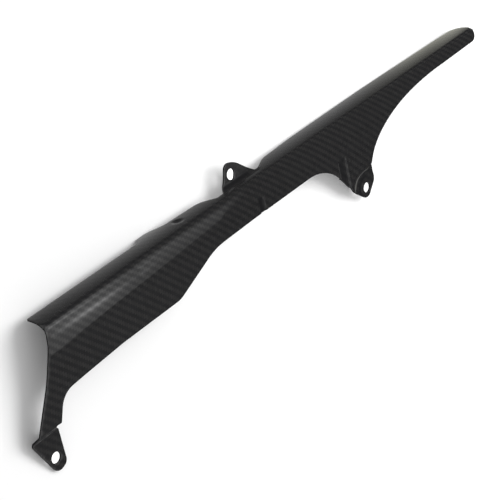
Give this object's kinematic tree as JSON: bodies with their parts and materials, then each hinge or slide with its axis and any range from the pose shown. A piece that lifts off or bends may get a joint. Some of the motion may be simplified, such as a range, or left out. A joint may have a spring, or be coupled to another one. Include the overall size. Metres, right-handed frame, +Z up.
{
  "type": "motorcycle chain guard",
  "caption": "Long angle-section shell that covers the top run of a drive chain, with a side panel, a narrow top flange, a stepped front leg and bolt tabs.",
  "frame": {"origin": "centre of the front bolt hole, at mid wall of the front tab", "axes": "+X runs back along the guard towards the tail, +Y runs inboard from the side panel towards the chain, +Z is up"},
  "size_m": [0.6281, 0.0313, 0.1299],
  "materials": {
    "carbon_shell": "clear-coated 2x2 twill carbon fibre laminate"
  },
  "bodies": {
    "root": {"chain_guard": "carbon_shell"}
  },
  "joints": []
}
